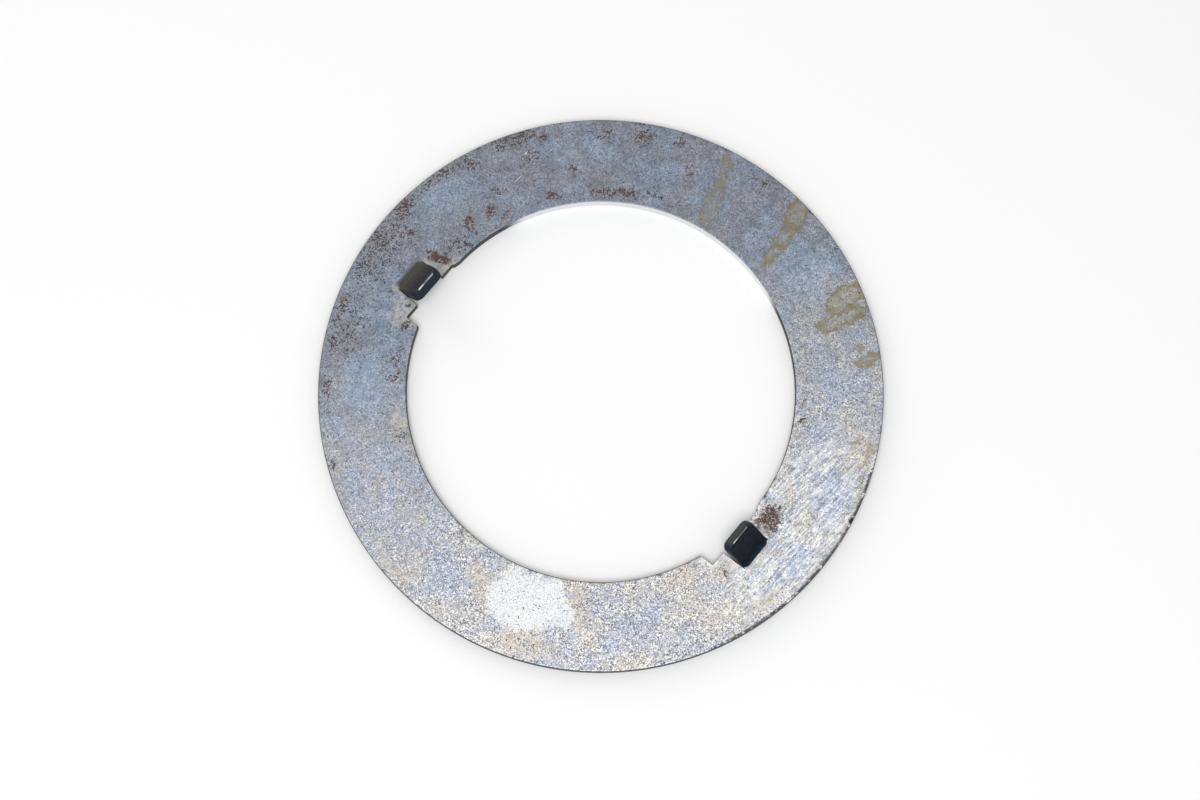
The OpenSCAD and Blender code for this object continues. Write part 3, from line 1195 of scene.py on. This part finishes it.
    def rust_specks(self) -> Value:
        """Scatters rust in specks that grow together where a patch is dense.

        Returns:
            The rust's share.
        """
        g, f, m = self.graph, self.shared, self.marks
        dense = self.spread(StainKind.RUST, f.ragged, -0.30, 0.60) * f.front
        self.paint(dense * 0.42, m.rust_haze)
        dots = g.noise(f.place, 1.15, 3.0, 0.68) * 0.40 + g.noise(f.place, 2.7, 1.0, 0.5) * 0.29
        dots = dots + g.noise(f.place, 4.2, 0.0, 0.5) * 0.31
        limit = 0.597 - dense * 0.20
        rust = g.step(dots, limit, limit + 0.05)
        red = g.step(dense, 0.66, 0.92) * g.blend(g.step(f.mottle, 0.40, 0.60), 0.35, 0.95)
        tone = g.mix(red, m.rust_brown, m.rust_red)
        tone = g.mix(g.step(f.fine, 0.62, 0.40), tone, m.rust_dark)
        tone = g.mix(g.step(dense, 0.74, 0.50), tone, m.rust_grey)
        cover = rust * g.blend(g.step(dense, 0.45, 0.80), 0.86, 0.92)
        self.paint(cover, tone)
        return rust

    def edges(self) -> None:
        """Darkens the sheared walls with their black finish and paints shade on their rounded top edges,
        darkens the rim with grime, nicks and a painted shadow towards the lower right, and brightens the burr
        along the slits with a painted highlight.
        """
        g, f, outer_r = self.graph, self.shared, self.sizes.outer_r
        burr_and_highlight = g.mix(f.wear_and_sheen, self.steel.burr_and_highlight, self.steel.fleck_and_glint)
        # Painted edge highlight along the burr of the slits and pockets.
        self.paint(f.burr_and_highlight * 0.70, burr_and_highlight)
        # Grime chips round the rim, thickened towards the lower right as a painted shadow.
        low_right = g.step(self.toward(f.outward, self.rim_shade_deg), 0.86, 0.96)
        chips_and_shade = g.noise(f.place, 0.55, 3.0, 0.7) + low_right * 0.20
        grime_and_shade = g.step(f.radius, outer_r - 0.9, outer_r - 0.4) * g.step(chips_and_shade, 0.60, 0.68)
        nick = self.spread(StainKind.NICK, f.place, -0.2, 0.4)
        self.paint(g.most(grime_and_shade * 0.85, nick), self.marks.grime_and_shade)
        # Sheared walls: black finish, and painted shade on the rounded top edges.
        wall = g.mix(g.step(f.mottle, 0.50, 0.68) * 0.40, self.black.wall, self.marks.rust_brown)
        smooth = g.step(f.depth + (f.shear - 0.5) * 1.1, 0.52, 0.72)
        smooth = smooth * g.step(f.radius, outer_r - 8.0, outer_r - 4.0)
        wall = g.mix(smooth * 0.85, wall, self.black.burnish)
        wall = g.mix(f.polish, wall, self.steel.polished_and_highlight)
        self.paint(f.wall, wall)

    def tangs(self) -> Value:
        """Puts the black finish on the tangs, with soft round corners at their roots, a painted highlight
        along their ridges, a painted reflection on the left tang's face and on the right tang's end, and a
        painted shadow past the left tang's root.

        Returns:
            The black finish's share.
        """
        g, f, b = self.graph, self.shared, self.black
        half = self.sizes.tang_w / 2
        start = f.run - g.step(f.across, half - 1.7, half) * 1.35 + (f.mottle - 0.5) * 0.5
        reach = g.blend(f.left, 0.50, 1.00) * g.step(f.across, half + 0.05, half - 1.0)
        beyond = g.step(f.root + reach, 0.0, g.blend(f.left, 0.35, 0.85))
        beyond = beyond * g.step(f.across, half + 0.1, half - 0.1) * f.front
        cover = g.most(g.step(start, 0.0, 0.95), beyond)
        halo = g.step(start, -0.1, 0.25) * g.step(f.run, 0.0, 0.05)
        self.paint(halo * 0.6, b.root_halo)
        # Painted shadow on the ring just past the left tang's root.
        root_shadow = g.step(f.root, -1.6, -0.3) * g.step(f.across, half + 0.4, half - 0.9)
        self.paint(root_shadow * f.front * (f.left * 0.60), b.tang_reflection_and_root_shade)
        skin = g.mix(g.step(f.mottle, 0.40, 0.75), b.tang, b.tang_dust)
        # Painted reflection: the left tang's face turns brown towards its root.
        face_reflection = g.step(f.run, 9.4, 1.8) * (f.left * f.front)
        skin = g.mix(face_reflection * 0.9, skin, b.tang_reflection_and_root_shade)
        # Painted reflection on the right tang's end face.
        end = g.step(f.run, 8.2, 8.9) * (1.0 - f.left)
        skin = g.mix(end * f.wall, skin, b.tang_end_reflection)
        # Painted highlight along the ridge, partly worn bright edge.
        skin = g.mix(f.ridge_highlight_and_wear, skin, self.steel.polished_and_highlight)
        self.paint(cover, skin)
        return cover

    def build(self) -> bpy.types.Material:
        """Builds the material, layer by layer.

        Returns:
            The finished material.
        """
        g, f, s, b = self.graph, self.shared, self.steel, self.black
        self.ground()
        self.pale_marks()
        self.tide_marks()
        rust = self.rust_specks()
        self.edges()
        cover = self.tangs()

        matte = f.left * f.front * g.step(f.run, 6.0, 0.3)
        metallic = g.math("SUBTRACT", 1.0, g.most(rust, f.wall), clamp=True) * s.metallic
        black = g.blend(f.wall, g.blend(matte, b.metallic, b.matte_metallic), b.wall_metallic)
        metallic = g.blend(cover, metallic, black)
        metallic = g.most(metallic, g.most(f.polish, f.ridge_highlight_and_wear) * s.polished_metallic)
        rough = (f.mottle - 0.5) * 0.20 + s.roughness
        rough = g.blend(f.wall, g.blend(rust, rough, self.marks.roughness), b.wall_roughness)
        black = g.blend(f.wall, g.blend(matte, b.roughness, b.matte_roughness), b.wall_roughness)
        rough = g.blend(f.polish, g.blend(cover, rough, black), s.polished_roughness)

        relief = f.fine * 0.5 + f.grain * 0.6 - f.crackle * 0.4
        relief = relief * (1.0 - cover * 0.95)
        feeds = {"Strength": s.bump_strength, "Distance": s.bump_height * MM, "Height": relief}
        feeds = {
            "Base Color": self.colour,
            "Metallic": metallic,
            "Roughness": rough,
            "Specular IOR Level": s.specular,
            "Normal": g.out("ShaderNodeBump", feeds),
        }
        shader = g.out("ShaderNodeBsdfPrincipled", feeds)
        g.add("ShaderNodeOutputMaterial", {"Surface": shader})
        return self.material


@dataclass
class ThrustWasher:
    """The whole washer: blank, fold and finish."""

    sizes: WasherSizes = field(default_factory=WasherSizes)
    node: str = "thrust_washer"
    slot: str = "steel"

    def build(self) -> bpy.types.Object:
        """Makes the washer and ties it to the frame.

        Returns:
            The finished piece.
        """
        material = WornSteel(self.sizes).build()
        blank = WasherBlank(self.sizes).mesh()
        piece = TangFold(self.sizes).apply(blank, material, "washer")
        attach(piece, "root")
        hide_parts(self.node)
        return piece


@dataclass
class Studio:
    """Floor, lights and surroundings."""

    finish: FloorFinish = FloorFinish()
    floor_half: float = 3.0
    floor_gap: float = 0.02
    ambient: float = 0.55
    panel_size: float = 0.5
    key_power: float = 4.0
    key_place: Triple = (-0.05, -0.30, 0.85)
    key_colour: Rgb = (1.0, 0.985, 0.965)
    side_power: float = 2.0
    side_place: Triple = (-0.60, 0.70, 0.25)
    side_colour: Rgb = (1.0, 0.95, 0.88)

    def floor(self) -> bpy.types.Object:
        """Lays the floor under the washer.

        Returns:
            The floor.
        """
        bm = bmesh.new()
        bmesh.ops.create_grid(bm, x_segments=1, y_segments=1, size=self.floor_half)
        mesh = bpy.data.meshes.new("studio_floor")
        bm.to_mesh(mesh)
        bm.free()
        material = bpy.data.materials.new("pale_floor")
        material.use_nodes = True
        shader = material.node_tree.nodes["Principled BSDF"]
        shader.inputs["Base Color"].default_value = (*self.finish.colour, 1.0)
        shader.inputs["Roughness"].default_value = self.finish.roughness
        shader.inputs["Specular IOR Level"].default_value = 0.0
        mesh.materials.append(material)
        floor = bpy.data.objects.new("studio_floor", mesh)
        floor.location.z = -self.floor_gap * MM
        bpy.context.collection.objects.link(floor)
        return floor

    def panel(self, name: str, seen_at: Triple, power: float, colour: Rgb) -> bpy.types.Object:
        """Hangs one square light panel that faces the washer.

        Args:
            name: Name of the light.
            seen_at: Where it hangs, in the viewer's axes.
            power: Power in watts.
            colour: Colour of the light.

        Returns:
            The light.
        """
        data = bpy.data.lights.new(name, "AREA")
        data.shape = "SQUARE"
        data.size = self.panel_size
        data.energy = power
        data.color = colour
        lamp = bpy.data.objects.new(name, data)
        place = from_viewer(seen_at)
        lamp.location = place
        lamp.rotation_euler = (-place).to_track_quat("-Z", "Y").to_euler()
        bpy.context.collection.objects.link(lamp)
        return lamp

    def surroundings(self) -> None:
        """Fills the world with plain soft light, white where it is seen."""
        world = bpy.data.worlds.new("soft_room")
        world.use_nodes = True
        bpy.context.scene.world = world
        g = NodeGraph(world.node_tree)
        rays = g.add("ShaderNodeLightPath", {}).outputs
        kinds = ("Is Camera Ray", "Is Glossy Ray", "Is Transmission Ray")
        camera, glossy, through = [Value(g, rays[kind]) for kind in kinds]
        strength = g.blend(g.most(camera, g.most(glossy, through)), self.ambient, 1.0)
        sky = g.out("ShaderNodeBackground", {"Color": (1.0, 1.0, 1.0), "Strength": strength})
        g.add("ShaderNodeOutputWorld", {"Surface": sky})

    def build(self) -> None:
        """Sets up the whole studio."""
        self.floor()
        self.surroundings()
        self.panel("key_panel", self.key_place, self.key_power, self.key_colour)
        self.panel("side_panel", self.side_place, self.side_power, self.side_colour)
        bpy.context.scene.view_settings.view_transform = "Standard"


@dataclass
class Viewpoint:
    """The camera, at the angle from which the washer is shown."""

    lens_mm: float = 69.6
    sensor_mm: float = 36.0
    tilt_deg: float = 12.38
    clip_start: float = 0.01
    place: Triple = (-0.000186, -0.10785, 0.48260)

    def build(self) -> bpy.types.Object:
        """Sets the camera up and makes it the scene's.

        Returns:
            The camera.
        """
        data = bpy.data.cameras.new("camera")
        data.lens = self.lens_mm
        data.sensor_width = self.sensor_mm
        data.clip_start = self.clip_start
        camera = bpy.data.objects.new("camera", data)
        camera.location = from_viewer(self.place)
        camera.rotation_euler = (math.radians(self.tilt_deg), 0.0, VIEW_TURN)
        bpy.context.collection.objects.link(camera)
        bpy.context.scene.camera = camera
        return camera


def main() -> None:
    """Builds the camera, the washer and the studio in order."""
    logging.basicConfig(level=logging.INFO, format="%(name)s: %(message)s")
    LOG.info("camera %s", Viewpoint().build().name)
    washer = ThrustWasher().build()
    LOG.info("piece %s with %d faces", washer.name, len(washer.data.polygons))
    Studio().build()
    LOG.info("studio with %d lights", len(bpy.data.lights))


if __name__ == "__main__":
    main()
